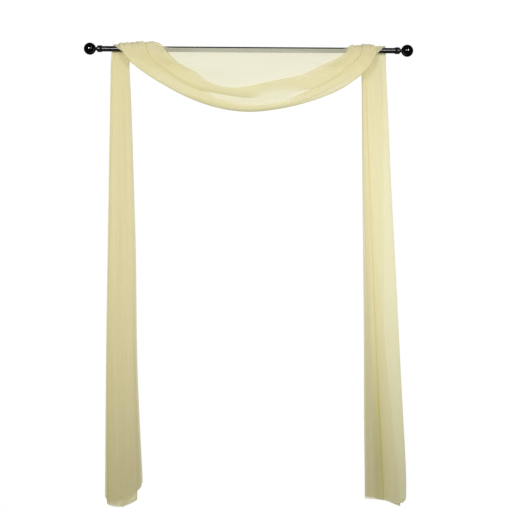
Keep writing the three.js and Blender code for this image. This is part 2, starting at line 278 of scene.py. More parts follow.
    def _weave(self, tree: NodeTree, place: NodeSocket) -> NodeSocket:
        """Raises the threads of the plain weave.

        Args:
            tree: The material's tree.
            place: The flat cloth's coordinates in millimetres.

        Returns:
            The bumped normal.
        """
        # Threads lie about 0.4 mm apart, too fine to show, so they are drawn 3 mm apart.
        # At scale 1 the bands of a wave texture lie pi / 10 apart.
        scale = math.pi / 10 / self.thread_mm
        warp, weft = (
            add_node(
                tree,
                "ShaderNodeTexWave",
                {"Vector": place, "Scale": scale, "Distortion": 1.5, "Detail": 1.0},
                bands_direction=direction,
            ).outputs["Fac"]
            for direction in ("X", "Y")
        )
        height = add_node(tree, "ShaderNodeMath", {0: warp, 1: weft}, operation="MAXIMUM").outputs[0]
        return add_node(
            tree,
            "ShaderNodeBump",
            {"Strength": self.thread_relief, "Distance": self.thread_height_mm * MM, "Height": height},
        ).outputs[0]


@dataclass(frozen=True)
class BlackEnamel:
    """Black stove enamel sprayed on steel: deep, hard and glossy, with faint orange peel and rubbed edges."""

    name: str
    roughness: float
    ior: float
    colour: str = "#050506"
    rubbed: str = "#2B2B2E"
    clean: float = -0.02
    dusty: float = 0.03
    peel_mm: float = 2.2
    peel_height_mm: float = 0.1
    peel_relief: float = 0.02
    dust_mm: float = 18.0

    def material(self) -> Material:
        """Builds the material on Object coordinates and the piece's own wear attribute.

        Returns:
            The enamel material.
        """
        material, tree, output = empty_material(self.name)
        place = add_node(tree, "ShaderNodeTexCoord").outputs["Object"]
        peel = add_node(
            tree, "ShaderNodeTexNoise", {"Vector": place, "Scale": 1.0 / (self.peel_mm * MM), "Detail": 1.0}
        ).outputs[0]
        dust = add_node(
            tree, "ShaderNodeTexNoise", {"Vector": place, "Scale": 1.0 / (self.dust_mm * MM), "Detail": 4.0}
        ).outputs[0]
        wear = add_node(tree, "ShaderNodeAttribute", attribute_name="wear").outputs["Fac"]
        rubbing = add_node(tree, "ShaderNodeMath", {0: wear, 1: dust}, operation="MULTIPLY").outputs[0]
        colour = add_node(
            tree,
            "ShaderNodeMix",
            {"Factor": rubbing, "A": linear(self.colour), "B": linear(self.rubbed)},
            data_type="RGBA",
        )
        roughness = add_node(
            tree,
            "ShaderNodeMapRange",
            {
                "Value": dust,
                "From Min": NOISE_LOW,
                "From Max": NOISE_HIGH,
                "To Min": self.roughness + self.clean,
                "To Max": self.roughness + self.dusty,
            },
        ).outputs[0]
        bump = add_node(
            tree,
            "ShaderNodeBump",
            {"Strength": self.peel_relief, "Distance": self.peel_height_mm * MM, "Height": peel},
        ).outputs[0]
        paint = add_node(
            tree,
            "ShaderNodeBsdfPrincipled",
            {"Base Color": colour.outputs["Result"], "Roughness": roughness, "IOR": self.ior, "Normal": bump},
        )
        tree.links.new(paint.outputs[0], output.inputs["Surface"])
        return material


@dataclass(frozen=True)
class PaleFloor:
    """Matt white painted board, faintly uneven.

    The lamps are aimed at the cloth, so the board gets a glow that only the camera sees. It reads pale from
    every side, and lights nothing.
    """

    colour: str = "#F2F1EE"
    smoothest: float = 0.75
    roughest: float = 0.9
    patch_mm: float = 400.0
    glow: float = 0.42

    def material(self) -> Material:
        """Builds the material on Object coordinates.

        Returns:
            The floor's material.
        """
        material, tree, output = empty_material("matt_white_board")
        place = add_node(tree, "ShaderNodeTexCoord").outputs["Object"]
        patches = add_node(
            tree, "ShaderNodeTexNoise", {"Vector": place, "Scale": 1.0 / (self.patch_mm * MM), "Detail": 2.0}
        ).outputs[0]
        roughness = add_node(
            tree, "ShaderNodeMapRange", {"Value": patches, "To Min": self.smoothest, "To Max": self.roughest}
        ).outputs[0]
        seen = add_node(tree, "ShaderNodeLightPath").outputs["Is Camera Ray"]
        glow = add_node(tree, "ShaderNodeMath", {0: seen, 1: self.glow}, operation="MULTIPLY").outputs[0]
        board = add_node(
            tree,
            "ShaderNodeBsdfPrincipled",
            {
                "Base Color": linear(self.colour),
                "Roughness": roughness,
                "Emission Color": linear(self.colour),
                "Emission Strength": glow,
            },
        )
        tree.links.new(board.outputs[0], output.inputs["Surface"])
        material.cycles.emission_sampling = "NONE"
        return material


# Shared piece handling


def finished_piece(name: str, bm: bmesh.types.BMesh, material: Material) -> Object:
    """Makes an object of a bmesh, with smooth faces and one material.

    Args:
        name: The piece's name.
        bm: The piece's shape, which is freed.
        material: The piece's finish.

    Returns:
        The new object at the origin.
    """
    mesh = bpy.data.meshes.new(name)
    for face in bm.faces:
        face.smooth = True
    bm.to_mesh(mesh)
    bm.free()
    mesh.materials.append(material)
    piece = bpy.data.objects.new(name, mesh)
    bpy.context.scene.collection.objects.link(piece)
    LOG.info("%s: %d faces", name, len(mesh.polygons))
    return piece


def stand_for(piece: Object, node: str) -> None:
    """Lets a piece take a solid's place on the part's body.

    Args:
        piece: The new piece.
        node: The solid that it replaces.
    """
    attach(piece, BODY)
    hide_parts(node)


# The scarf


class TailFold(NamedTuple):
    """One fold line: its place across the bunch, 0 at the inner side and 1 at the outer, and its hem height.

    The places are given behind the pole, in front of it, at the tail's top and at its hem.
    """

    pole: float
    front: float
    top: float
    hem: float
    hem_height: float


class HemSag(NamedTuple):
    """A hem's curve between its edges: how deep it hangs, how far it leans outwards and how square it is."""

    depth: float
    lean: float
    squareness: float


class TailEdge(NamedTuple):
    """A tail's outer and inner edge along the pole at one height."""

    height: float
    outer: float
    inner: float


class PoleTurn(NamedTuple):
    """A bunch's outer and inner edge at an angle about the pole, from its back over its top to its front."""

    angle: float
    outer: float
    inner: float


class SwagRow(NamedTuple):
    """One slanting section of the swag: the band's lower and upper edge, and how its folds lie there."""

    low_x: float
    low_z: float
    top_x: float
    top_z: float
    opened: float
    crease: float
    pleat: float
    edge: float
    fullness: float


class Section(NamedTuple):
    """A section's control points, its edges, and how far the shared forms show there."""

    points: np.ndarray
    inner: float
    outer: float
    wave: float = 0.0
    loft: float = 0.0
    fullness: float = 0.0
    opened: float = 0.0


class Wave(NamedTuple):
    """A soft wave in the cloth: its height, its turns across and along, and the turn that it starts at."""

    height: float
    across: float
    along: float = 0.0
    start: float = 0.0

    def at(self, across: np.ndarray, along: np.ndarray | float = 0.0) -> np.ndarray:
        """Gives the wave's height at each place across and along the cloth."""
        return self.height * np.sin(2 * np.pi * (self.across * across + self.along * along + self.start))


class Streak(NamedTuple):
    """A soft streak along the cloth: the fold line it follows, its half width in layers and its strength."""

    line: float
    width: float
    strength: float = 1.0

    def at(self, line: np.ndarray) -> np.ndarray:
        """Gives the streak's strength at each place across, counted in fold lines."""
        return self.strength * np.exp(-(((line - self.line) / self.width) ** 2))


class Share(NamedTuple):
    """What a form adds to the share of yarn and to the depth of the yellow."""

    yarn: float
    yellow: float = 0.0


TAIL_FOLDS: dict[Side, tuple[TailFold, ...]] = {
    Side.LEFT: (
        TailFold(0, 0, 0.05, 0, -1972),
        TailFold(0.9, 0.8, 0.95, 0.94, -2041),
        TailFold(0.1, 0.1, 0.03, 0.15, -2035),
        TailFold(1, 1, 1, 1, -2037),
        TailFold(0.1, 0.03, 0.05, 0.03, -1978),
        TailFold(0.88, 0.92, 0.95, 0.97, -2037),
        TailFold(0.35, 0.4, 0.06, 0.05, -1990),
        TailFold(0.84, 0.9, 0.97, 0.56, -2041),
    ),
    Side.RIGHT: (
        TailFold(0, 0, 0.04, 0.01, -2040),
        TailFold(0.6, 0.7, 0.16, 0.45, -2041),
        TailFold(0.1, 0.1, 0.03, 0.26, -2040),
        TailFold(1, 1, 1, 1, -2038),
        TailFold(0.15, 0.03, 0.02, 0.06, -2036),
        TailFold(0.68, 0.92, 0.14, 0.87, -2039),
        TailFold(0.35, 0.5, 0.06, 0.02, -2037),
        TailFold(0.64, 0.9, 0.88, 0.42, -2040),
    ),
}

HEM_SAG: dict[Side, HemSag] = {Side.LEFT: HemSag(58, 1.6, 0.6), Side.RIGHT: HemSag(40, 4.2, 1.0)}

TAIL_EDGES: dict[Side, tuple[TailEdge, ...]] = {
    Side.LEFT: (
        TailEdge(-2079, -642, -468),
        TailEdge(-1940, -642, -467),
        TailEdge(-1650, -642, -485),
        TailEdge(-1320, -641, -498),
        TailEdge(-960, -637, -500),
        TailEdge(-600, -634, -516),
        TailEdge(-300, -631, -527),
        TailEdge(-130, -630, -536),
        TailEdge(-60, -630, -545),
    ),
    Side.RIGHT: (
        TailEdge(-2068, 734, 542),
        TailEdge(-1940, 736, 541),
        TailEdge(-1650, 717, 534),
        TailEdge(-1320, 698, 532),
        TailEdge(-960, 678, 524),
        TailEdge(-600, 655, 519),
        TailEdge(-300, 641, 517),
        TailEdge(-130, 632, 515),
        TailEdge(-60, 628, 513),
    ),
}

POLE_TURNS: dict[Side, tuple[PoleTurn, ...]] = {
    Side.LEFT: (
        PoleTurn(0, -626, -507),
        PoleTurn(45, -620, -452),
        PoleTurn(90, -614, -406),
        PoleTurn(135, -609, -385),
        PoleTurn(180, -600, -370),
    ),
    Side.RIGHT: (
        PoleTurn(0, 628, 496),
        PoleTurn(45, 626, 468),
        PoleTurn(90, 621, 443),
        PoleTurn(135, 614, 438),
        PoleTurn(180, 604, 443),
    ),
}

# How full the bunch stands over the pole, from its inner side to its outer side
BUNCH_LOFT: dict[Side, tuple[float, ...]] = {
    Side.LEFT: (1.25, 1.4, 0.76, 0.66, 0.56),
    Side.RIGHT: (0.95, 0.6, 0.66, 0.58, 0.57),
}

# The gathers on the bunch as shares of its height, the tails' waves as shares of their depth, drifting with
# the height, and the swag's pull lines in millimetres, drifting along the cloth
BUNCH_GATHERS = (Wave(0.09, 7.3), Wave(0.06, 13.1, start=0.191))
TAIL_WAVES = (Wave(1.0, 0.75, 1 / 5000, 0.25), Wave(0.2, 3.7, -1 / 2900), Wave(0.1, 6.3, 1 / 1700, 0.3))
PULL_LINES = (Wave(0.7, 17, 1.5), Wave(0.42, 29, -2.2))

SWAG: tuple[SwagRow, ...] = (
    SwagRow(-542, -55, -352, -42, 0.12, 0.8, 0.5, 0.97, 0.15),
    SwagRow(-466, -113, -289, -85, 0.32, 0.6, 0.45, 0.97, 0.35),
    SwagRow(-378, -167, -232, -107, 0.68, 0.7, 0.6, 0.97, 0.6),
    SwagRow(-262, -230, -178, -161, 0.95, 0.5, 0.42, 0.98, 0.85),
    SwagRow(-137, -271, -96, -182, 1, 0.3, 0.46, 1, 1),
    SwagRow(-10, -289, -14, -177, 1, 0.47, 0.66, 1, 1),
    SwagRow(113, -276, 72, -154, 1, 0.5, 0.74, 1, 1),
    SwagRow(236, -250, 168, -135, 1, 0.52, 0.72, 1, 0.9),
    SwagRow(341, -214, 254, -116, 0.86, 0.66, 0.6, 0.9, 0.7),
    SwagRow(427, -176, 336, -73, 0.62, 0.66, 0.58, 0.85, 0.45),
    SwagRow(482, -133, 392, -47, 0.32, 0.62, 0.5, 0.95, 0.28),
    SwagRow(536, -97, 426, -32, 0.1, 0.78, 0.5, 0.97, 0.12),
)


def ramp(value: np.ndarray, start: float, end: float) -> np.ndarray:
    """Rises evenly from 0 at the start to 1 at the end."""
    return np.clip((value - start) / (end - start), 0, 1)


# Where a form starts, and where it shows in full
Span = tuple[float, float]


@dataclass(frozen=True)
class ThicknessAndShade:
    """Where the voile lies denser, deeper in colour or looser than its plain weave, and its painted shade.

    Creases, rims and tucks hold more yarn than the drawn surface, and the gaps in the swag's middle open out.
    The crease's streak is partly painted crease shade. Painted shade, drawn as extra yarn, lies just below
    the pole and over the right tail's lower part and outer side. The sheet above the swag's band is drawn
    darker and yellower towards the left.
    Streaks follow the fold lines, numbered from 0 to 7 across the cloth. Places along the pole and heights
    are in millimetres.
    """

    gathers: tuple[Streak, ...] = (Streak(1, 0.06, 0.5), Streak(2, 0.06, 0.5))
    # The crease's streak is partly its denser folded edge and partly painted crease shade
    crease: Streak = Streak(3, 0.18, 0.9)
    faded_crease: Streak = Streak(3, 0.18, 0.15)
    crease_fades: Span = (-10, 70)
    pleat: Streak = Streak(6, 0.12, 0.4)
    rims: tuple[Streak, ...] = (Streak(4, 0.06, 0.1), Streak(5, 0.06, 0.5))
    tuck: Streak = Streak(6.62, 0.07, 0.4)
    tuck_slant: float = -0.0011
    tuck_slant_from: float = -10
    tuck_middle: float = -75
    tuck_reach: Span = (200, 140)
    middle_fold: Streak = Streak(4.55, 0.22)
    # Painted shade: extra yarn darkens the single sheet just below the pole
    shade_below_pole: Streak = Streak(0.3, 0.3)
    # Darker and yellower towards the left in the sheet above the swag's band
    left_darkening_from: Span = (-20, -170)
    left_darkening_lines: Span = (1.2, 2.4)
    right_tail_from: float = 500
    # Painted shade: extra yarn and deep yellow over the right tail's lower part
    tail_shade_band: Streak = Streak(1.5, 0.6)
    tail_shade_band_starts: Span = (-1250, -1650)
    tail_shade_band_ends: Span = (-2180, -1880)
    # Painted shade: extra yarn darkens the right tail's outer side from partway down
    tail_side_shade: Streak = Streak(3, 0.45)
    tail_side_shade_starts: Span = (-400, -1100)
    loose_crease: Streak = Streak(3, 0.3, 1.1)
    loose_pleat: Streak = Streak(6, 0.5, 1.1)
    loose_rim: Streak = Streak(4, 0.3, 0.6)
    middle_fullness: Span = (0.75, 0.95)
    wing_fullness: Span = (0.15, 0.5)
    swag_fullness: Span = (0, 0.1)
    bunch_fullness: Streak = Streak(0.25, 0.2)  # a streak over the fullness itself
    bunch_yellow_left: float = 0.12
    bunch_yellow_right: float = 0.04
    middle_yellow: float = 0.03
    fold_share: Share = Share(0.3, 1.0)
    tail_shade_band_share: Share = Share(0.45, 1.0)
    tail_side_shade_share: Share = Share(0.2)
    middle_fold_share: Share = Share(0.1, 0.25)
    left_darkening_share: Share = Share(0.08, 0.12)
    shade_below_pole_share: Share = Share(0.14)
    loose_share: Share = Share(-0.56)

    def at(
        self, grid: np.ndarray, line: np.ndarray, fullness: np.ndarray, opened: np.ndarray
    ) -> tuple[np.ndarray, np.ndarray, np.ndarray]:
        """Works out the extra yarn, the yellow and the looseness, the painted shade among them.

        Args:
            grid: The points in millimetres.
            line: The place across for each column, counted in fold lines.
            fullness: How far the swag's band stands forward in each row.
            opened: How far the swag has opened into one layer in each row.

        Returns:
            What is added to the share of yarn, how far the yellow deepens, and how far the gaps open.
            The added yarn and yellow hold the painted shade too.
        """
        along_pole, height = grid[..., 0], grid[..., 2]
        middle = ramp(fullness, *self.middle_fullness)
        wing = ramp(fullness, *self.wing_fullness)
        faded = ramp(along_pole, *self.crease_fades)
        # The crease: denser folded edge and painted crease shade
        crease = (1 - faded) * self.crease.at(line) + faded * (1 - middle) * self.faded_crease.at(line)
        pleat = (1 - middle) * self.pleat.at(line)
        slanting = line - self.tuck_slant * (along_pole - self.tuck_slant_from)
        tuck = ramp(np.abs(along_pole - self.tuck_middle), *self.tuck_reach) * self.tuck.at(slanting)
        gathers = (1 - opened) * sum(s.at(line) for s in self.gathers)
        folds = wing * (crease + pleat + tuck) + gathers + sum(s.at(line) for s in self.rims)
        # darker and yellower towards the left above the swag's band
        left_darkening = ramp(along_pole, *self.left_darkening_from) * wing
        left_darkening = left_darkening * ramp(line, *self.left_darkening_lines) * (line < self.crease.line)
        in_right_tail = along_pole > self.right_tail_from
        # painted shade over the right tail's lower part
        band = in_right_tail * ramp(height, *self.tail_shade_band_starts) * ramp(height, *self.tail_shade_band_ends)
        # painted shade on the right tail's outer side
        tail_side_shade = in_right_tail * ramp(height, *self.tail_side_shade_starts) * self.tail_side_shade.at(line)
        loose = middle * (faded * self.loose_crease.at(line) + self.loose_pleat.at(line))
        loose = np.clip(loose + (1 - middle) * wing * self.loose_rim.at(line), 0, 1)
        forms = (
            (folds, self.fold_share),
            (band * self.tail_shade_band.at(line), self.tail_shade_band_share),
            (tail_side_shade, self.tail_side_shade_share),
            (middle * self.middle_fold.at(line), self.middle_fold_share),
            (left_darkening, self.left_darkening_share),
            # painted shade just below the pole
            (opened * self.shade_below_pole.at(line), self.shade_below_pole_share),
            (loose, self.loose_share),
        )
        near_bunch = ramp(fullness, *self.swag_fullness) * self.bunch_fullness.at(fullness)
        tone = np.where(along_pole < 0, self.bunch_yellow_left, self.bunch_yellow_right) * near_bunch
        yellow = tone + self.middle_yellow * middle + sum(form * share.yellow for form, share in forms)
        return sum(form * share.yarn for form, share in forms), np.clip(yellow, 0, 1), loose


@dataclass(frozen=True)
class Scarf:
    """One long strip of voile: a tail behind the pole at each end and a swag in front, in seven layers.

    The flat width and length are in metres, other sizes in millimetres, and angles in degrees about the pole.
    """

    width: float = CLOTH_WIDTH
    length: float = CLOTH_LENGTH
    layers: int = 7
    layer_shares: tuple[float, ...] = (0.0, 0.1, 0.5, 0.9, 1.0)
    first_radius: float = 14.1
    pole_gap: float = 3.6
    tail_gap: float = 7.5
    tail_depth: float = 25.0
    tail_wave: float = 8.0
    tail_spread: float = 1.6
    top_edge_angle: float = 160.0
    front_start_angle: float = 90.0
    front_angle: float = 180.0
    top_edge_radius: float = 14.2
    top_bend_depth: float = 16.4
    band_upper: float = 0.0
    band_lower: float = 1.04
    band_depths: tuple[float, ...] = (16, 24, 32, 40, 49, 58, 67)
    band_start_depth: float = 15.0
    band_start_gap: float = 7.0
    band_bulge: float = 9.0
    open_shares: tuple[float, ...] = (
        0, 0, 0.05, 0.11, 0.17, 0.23, 0.3, 0.37, 0.45, 0.53, 0.62, 0.71, 0.8, 0.9, 1,
    )
    opening_layers: int = 3
    open_overlap: float = 0.66
    ripple_start: float = 0.3
    steps: tuple[int, ...] = (8, 8, 10)  # from section to section, for each kind of stretch
    across_steps: int = 4

    def layer_points(self, folds: list[float]) -> tuple[np.ndarray, np.ndarray, np.ndarray]:
        """Places a section's points between its fold lines.

        Args:
            folds: The place of each fold line across the bunch.

        Returns:
            The place across, the layer and the share of the layer of every point.
        """
        layer = np.repeat(np.arange(self.layers), len(self.layer_shares))
        share = np.tile(np.array(self.layer_shares), self.layers)
        lines = np.array(folds, dtype=float)
        return lines[layer] * (1 - share) + lines[layer + 1] * share, layer, share

    def tail_section(self, side: Side, edge: TailEdge) -> Section:
        """Lays out a level section across a tail.

        Args:
            side: The tail's side.
            edge: The tail's edges at this height.

        Returns:
            The section.
        """
        hem, top = TAIL_EDGES[side][0], TAIL_EDGES[side][-1]
        drop = (edge.height - top.height) / (hem.height - top.height)
        spread = min(1.0, self.tail_spread * math.sqrt(drop))
        folds = TAIL_FOLDS[side]
        across, layer, share = self.layer_points([f.top + (f.hem - f.top) * drop for f in folds])
        heights = np.array([f.hem_height if edge is hem else edge.height for f in folds], dtype=float)
        sag = HEM_SAG[side]
        curve = np.maximum(0, np.sin(np.pi * across**sag.lean)) ** sag.squareness
        lower = sag.depth * curve if edge is hem else 0.0
        gap = self.pole_gap + (self.tail_gap - self.pole_gap) * spread
        points = np.stack(
            [
                edge.inner + (edge.outer - edge.inner) * across,
                self.tail_depth + (layer - (self.layers - 1) / 2) * gap,
                heights[layer] * (1 - share) + heights[layer + 1] * share - lower,
            ],
            axis=1,
        )
        return Section(points, edge.inner, edge.outer, wave=self.tail_wave * spread)

    def pole_section(self, side: Side, turn: PoleTurn) -> Section:
        """Lays out a section along the pole, turned about its axis.

        Args:
            side: The bunch's side.
            turn: The bunch's edges at this angle.

        Returns:
            The section.
        """
        # A cubic spline whose points turn 45 degrees at a time runs inside them by this share
        arc_pull = (2 + math.sqrt(0.5)) / 3
        front_turn = self.front_angle - self.front_start_angle
        to_front = smooth_step((turn.angle - self.front_start_angle) / front_turn)
        folds = [f.pole + (f.front - f.pole) * to_front for f in TAIL_FOLDS[side]]
        across, layer, _ = self.layer_points(folds)
        radius = (self.first_radius + layer * self.pole_gap) / arc_pull
        angle = np.full(len(layer), float(turn.angle))
        angle[0] = min(turn.angle, self.top_edge_angle)
        angle = np.radians(angle)
        along_pole = turn.inner + (turn.outer - turn.inner) * across
        points = np.stack([along_pole, radius * np.cos(angle), radius * np.sin(angle)], axis=1)
        return Section(points, turn.inner, turn.outer, loft=1.0)

    def band_depth(self, layer: np.ndarray | float, fullness: float) -> np.ndarray:
        """Gives how far a layer of the swag's band stands in front of the pole's axis.

        Args:
            layer: The layer's number, which may lie between two layers.
            fullness: How far the band stands forward there, from 0 to 1.

        Returns:
            The depth of each layer.
        """
        full = np.interp(layer, np.arange(self.layers), self.band_depths)
        gathered = self.band_start_depth + np.asarray(layer) * self.band_start_gap
        return gathered + (full - gathered) * fullness

    def swag_section(self, row: SwagRow) -> Section:
        """Lays out a slanting section down the swag, from the pole to the band's lower edge.

        Args:
            row: The swag's edges and folds there.

        Returns:
            The section.
        """
        side = Side.LEFT if row.low_x < 0 else Side.RIGHT
        gathered = [f.front for f in TAIL_FOLDS[side]][: self.opening_layers]
        band = [row.crease, self.band_upper, self.band_lower, row.pleat, row.edge]
        across, layer, share = self.layer_points([*gathered, *band])
        bulge = self.band_bulge * row.fullness * np.sin(np.pi * share) * (layer >= self.opening_layers)
        points = np.stack(
            [
                row.top_x + (row.low_x - row.top_x) * across,
                -self.band_depth(layer, row.fullness) - bulge,
                row.top_z + (row.low_z - row.top_z) * across,
            ],
            axis=1,
        )
        bend = np.array([row.top_x, -self.top_bend_depth, 0.0])
        opening = np.array(self.open_shares)
        count = len(opening)
        single = bend + (points[count - 1] - bend) * opening[:, None]
        lean = smooth_step(row.opened / self.open_overlap)
        flatten = smooth_step((row.opened - self.open_overlap) / (1 - self.open_overlap))
        first, run = len(self.layer_shares) - 1, len(self.layer_shares) + 1
        leaning = np.clip((np.arange(count) - first) / run, 0, 1) * (self.opening_layers - 1)
        folded = -self.band_depth(layer[:count] + (leaning - layer[:count]) * lean, row.fullness)
        points[:count, ::2] += (single[:, ::2] - points[:count, ::2]) * row.opened
        points[:count, 1] = folded + (single[:, 1] - folded) * flatten
        turn = math.radians(self.top_edge_angle)
        points[0] = (row.top_x, self.top_edge_radius * math.cos(turn), self.top_edge_radius * math.sin(turn))
        points[1] = bend
        return Section(points, row.top_x, row.low_x, fullness=row.fullness, opened=row.opened)

    def sections(self) -> list[tuple[Cloth, Section]]:
        """Lists the sections from the left hem to the right hem.

        Returns:
            Each section with the stretch of cloth that it belongs to.
        """
        left, right = Side.LEFT, Side.RIGHT
        return [
            *((Cloth.TAIL, self.tail_section(left, e)) for e in TAIL_EDGES[left]),
            *((Cloth.POLE, self.pole_section(left, t)) for t in POLE_TURNS[left]),
            *((Cloth.SWAG, self.swag_section(r)) for r in SWAG),
            *((Cloth.POLE, self.pole_section(right, t)) for t in reversed(POLE_TURNS[right])),
            *((Cloth.TAIL, self.tail_section(right, e)) for e in reversed(TAIL_EDGES[right])),
        ]

    def surface(self) -> tuple[np.ndarray, np.ndarray, np.ndarray, tuple[np.ndarray, np.ndarray, np.ndarray]]:
        """Works out the scarf's surface.

        Returns:
            A grid of points in millimetres, the flat cloth's share across for each column and along for each
            row, and how much denser, deeper in colour and looser each point is, with the painted shade in the
            denser and deeper parts.
        """
        kinds, sections = zip(*self.sections())
        stretches = [self.steps[max(pair)] for pair in zip(kinds, kinds[1:])]
        rows = spline_weights(len(sections), stretches)
        net = np.stack([s.points for s in sections])
        columns = spline_weights(net.shape[1], [self.across_steps] * (net.shape[1] - 1))
        grid = np.einsum("ri,ijk,cj->rck", rows, net, columns)
        amounts = rows @ np.array([s[1:] for s in sections])
        inner, outer, wave, loft, fullness, opened = (column[:, None] for column in amounts.T)
        place = (grid[..., 0] - inner) / (outer - inner)
        self._shape_bunch(grid, place, loft)
        self._shape_tails(grid, place, wave)
        _, layer, share = self.layer_points([0.0] * (self.layers + 1))
        across = columns @ ((layer + share) / self.layers)
        self._ripple(grid, across, fullness)
        gaps = np.linalg.norm(np.diff(grid, axis=0), axis=2).mean(axis=1)
        along = np.concatenate([[0.0], np.cumsum(gaps)]) / gaps.sum()
        line = across[None, :] * self.layers
        return grid, np.clip(across, 0, 1), along, ThicknessAndShade().at(grid, line, fullness, opened)

    def _shape_bunch(self, grid: np.ndarray, place: np.ndarray, loft: np.ndarray) -> None:
        """Lets the bunch over the pole stand fuller in places, with gathers that run over the pole.

        Args:
            grid: The points, which are moved.
            place: Each point's place between the inner edge, 0, and the outer edge, 1.
            loft: How far this form shows in each row.
        """
        over = grid * (0, 1, 1)
        over[..., 2] = np.maximum(over[..., 2], 0)
        radius = np.linalg.norm(over, axis=2)
        across = np.clip(place, 0, 1)
        places = np.linspace(0, 1, len(BUNCH_LOFT[Side.LEFT]))
        fuller = np.where(
            grid[..., 0] < 0,
            np.interp(across, places, BUNCH_LOFT[Side.LEFT]),
            np.interp(across, places, BUNCH_LOFT[Side.RIGHT]),
        )
        stand = np.maximum(radius - self.first_radius, 0)
        gather = sum(w.at(across) for w in BUNCH_GATHERS)
        rise = stand * (fuller - 1 + gather) * loft
        grid += over * (rise / np.maximum(radius, SAME_PLACE))[..., None]

    @staticmethod
    def _shape_tails(grid: np.ndarray, place: np.ndarray, wave: np.ndarray) -> None:
        """Lets the tails hang in soft upright waves, which all layers share so that they stay clear.

        Args:
            grid: The points, which are moved.
            place: Each point's place between the inner edge, 0, and the outer edge, 1.
            wave: The wave's depth in each row.
        """
        waves = sum(w.at(place, grid[..., 2]) for w in TAIL_WAVES)
        grid[..., 1] -= np.sign(grid[..., 0]) * wave * waves

    def _ripple(self, grid: np.ndarray, across: np.ndarray, fullness: np.ndarray) -> None:
        """Draws faint pull lines along the swag.

        Args:
            grid: The points, which are moved.
            across: The flat cloth's share across for each column.
            fullness: How far the swag's band stands forward in each row.
        """
        row = np.linspace(0, 1, grid.shape[0])[:, None]
        settled = np.clip(across * self.layers - self.ripple_start, 0, 1)
        grid[..., 1] -= fullness * settled * sum(w.at(across, row) for w in PULL_LINES)

    def build(self, voile: Voile) -> None:
        """Lays a grid over the surface and dresses it.

        Args:
            voile: The scarf's finish.
        """
        points, across, along, qualities = self.surface()
        rows, columns = points.shape[:2]
        bm = bmesh.new()
        uv = bm.loops.layers.uv.new("flat_cloth")
        # The extra yarn and the depth of yellow also carry painted shade
        layers = [bm.verts.layers.float.new(name) for name in ("extra_yarn_and_shade", "depth_of_yellow", "looseness")]
        bmesh.ops.create_grid(bm, x_segments=columns - 1, y_segments=rows - 1, size=0.5)
        flat = {}
        for vert in bm.verts:
            column = round((vert.co.x + 0.5) * (columns - 1))
            row = round((vert.co.y + 0.5) * (rows - 1))
            flat[vert] = (across[column], along[row])
            vert.co = points[row, column] * MM
            for layer, quality in zip(layers, qualities):
                vert[layer] = quality[row, column]
        for face in bm.faces:
            for loop in face.loops:
                loop[uv].uv = flat[loop.vert]
        piece = finished_piece("voile_scarf", bm, voile.material())
        stand_for(piece, "scarf")


def smooth_step(value: float) -> float:
    """Eases a value from 0 to 1 between 0 and 1."""
    share = min(max(value, 0.0), 1.0)
    return share * share * (3 - 2 * share)


def spline_weights(count: int, steps: list[int]) -> np.ndarray:
    """Gives the weights of a row's points along a cubic spline that starts and ends on the row's own ends.

    Args:
        count: The number of points.
        steps: The number of places for each stretch between two points.

    Returns:
        A row of weights for each place.
    """
    places = [stretch + step / number for stretch, number in enumerate(steps) for step in range(number)]
    weights = []
    for place in [*places, float(len(steps))]:
        stretch = min(int(place), len(steps) - 1)
        t = place - stretch
        row = np.zeros(count + 2)
        row[stretch : stretch + 4] = (
            (1 - t) ** 3 / 6,
            (3 * t**3 - 6 * t**2 + 4) / 6,
            (3 * (1 - t) ** 3 - 6 * (1 - t) ** 2 + 4) / 6,
            t**3 / 6,
        )
        # The points beyond both ends mirror their neighbours
        row[1] += 2 * row[0]
        row[2] -= row[0]
        row[-2] += 2 * row[-1]
        row[-3] -= row[-1]
        weights.append(row[1:-1])
    return np.array(weights)


# The pole and its ends


@dataclass(frozen=True)
class Turning:
    """Turns profiles about the X axis and rounds their edges."""

    sides: int = 96
    sharp_deg: float = 25.0
    edge: float = 0.6 * MM
    edge_segments: int = 3

    @staticmethod
    def profile(
        bm: bmesh.types.BMesh, places: list[tuple[float, float]], closed: bool
    ) -> list[bmesh.types.BMVert]:
        """Draws a profile in the XZ plane.

        Args:
            bm: The bmesh that gets the profile.
            places: The profile's corners, as a place along X and a radius.
            closed: Whether the last corner joins the first.

        Returns:
            The corners.
        """
        corners = [bm.verts.new((x, 0, radius)) for x, radius in places]
        for start, end in zip(corners, [*corners[1:], corners[0]] if closed else corners[1:]):
            bm.edges.new((start, end))
        return corners

    def spin(self, bm: bmesh.types.BMesh, side: Side, rounded: list[float]) -> None:
        """Turns the profile in a bmesh into a solid of revolution.

        Args:
            bm: The bmesh that holds the profile in the XZ plane, and then the shape.
            side: The end of the pole at which the piece sits.
            rounded: The radii of the rings whose edges are rounded and rubbed.
        """
        bmesh.ops.spin(
            bm,
            geom=[*bm.verts, *bm.edges],
            cent=(0, 0, 0),
            axis=(1, 0, 0),
            angle=2 * math.pi,
            steps=self.sides,
            use_merge=True,
        )
        bmesh.ops.scale(bm, vec=(side.value, 1, 1), verts=bm.verts)
        bmesh.ops.remove_doubles(bm, verts=bm.verts, dist=SAME_PLACE)
        bmesh.ops.recalc_face_normals(bm, faces=bm.faces)
        wear = bm.verts.layers.float.new("wear")
        rings = [
            edge
            for edge in bm.edges
            if edge.calc_face_angle(0) > math.radians(self.sharp_deg)
            and any(abs(math.hypot(*edge.verts[0].co.yz) - radius) < SAME_PLACE for radius in rounded)
            and abs(edge.verts[0].co.x - edge.verts[1].co.x) < SAME_PLACE
        ]
        made = bmesh.ops.bevel(
            bm,
            geom=rings,
            offset=self.edge,
            affect="EDGES",
            segments=self.edge_segments,
            profile=0.5,
            material=-1,
        )
        for vert in made["verts"]:
            vert[wear] = 1.0


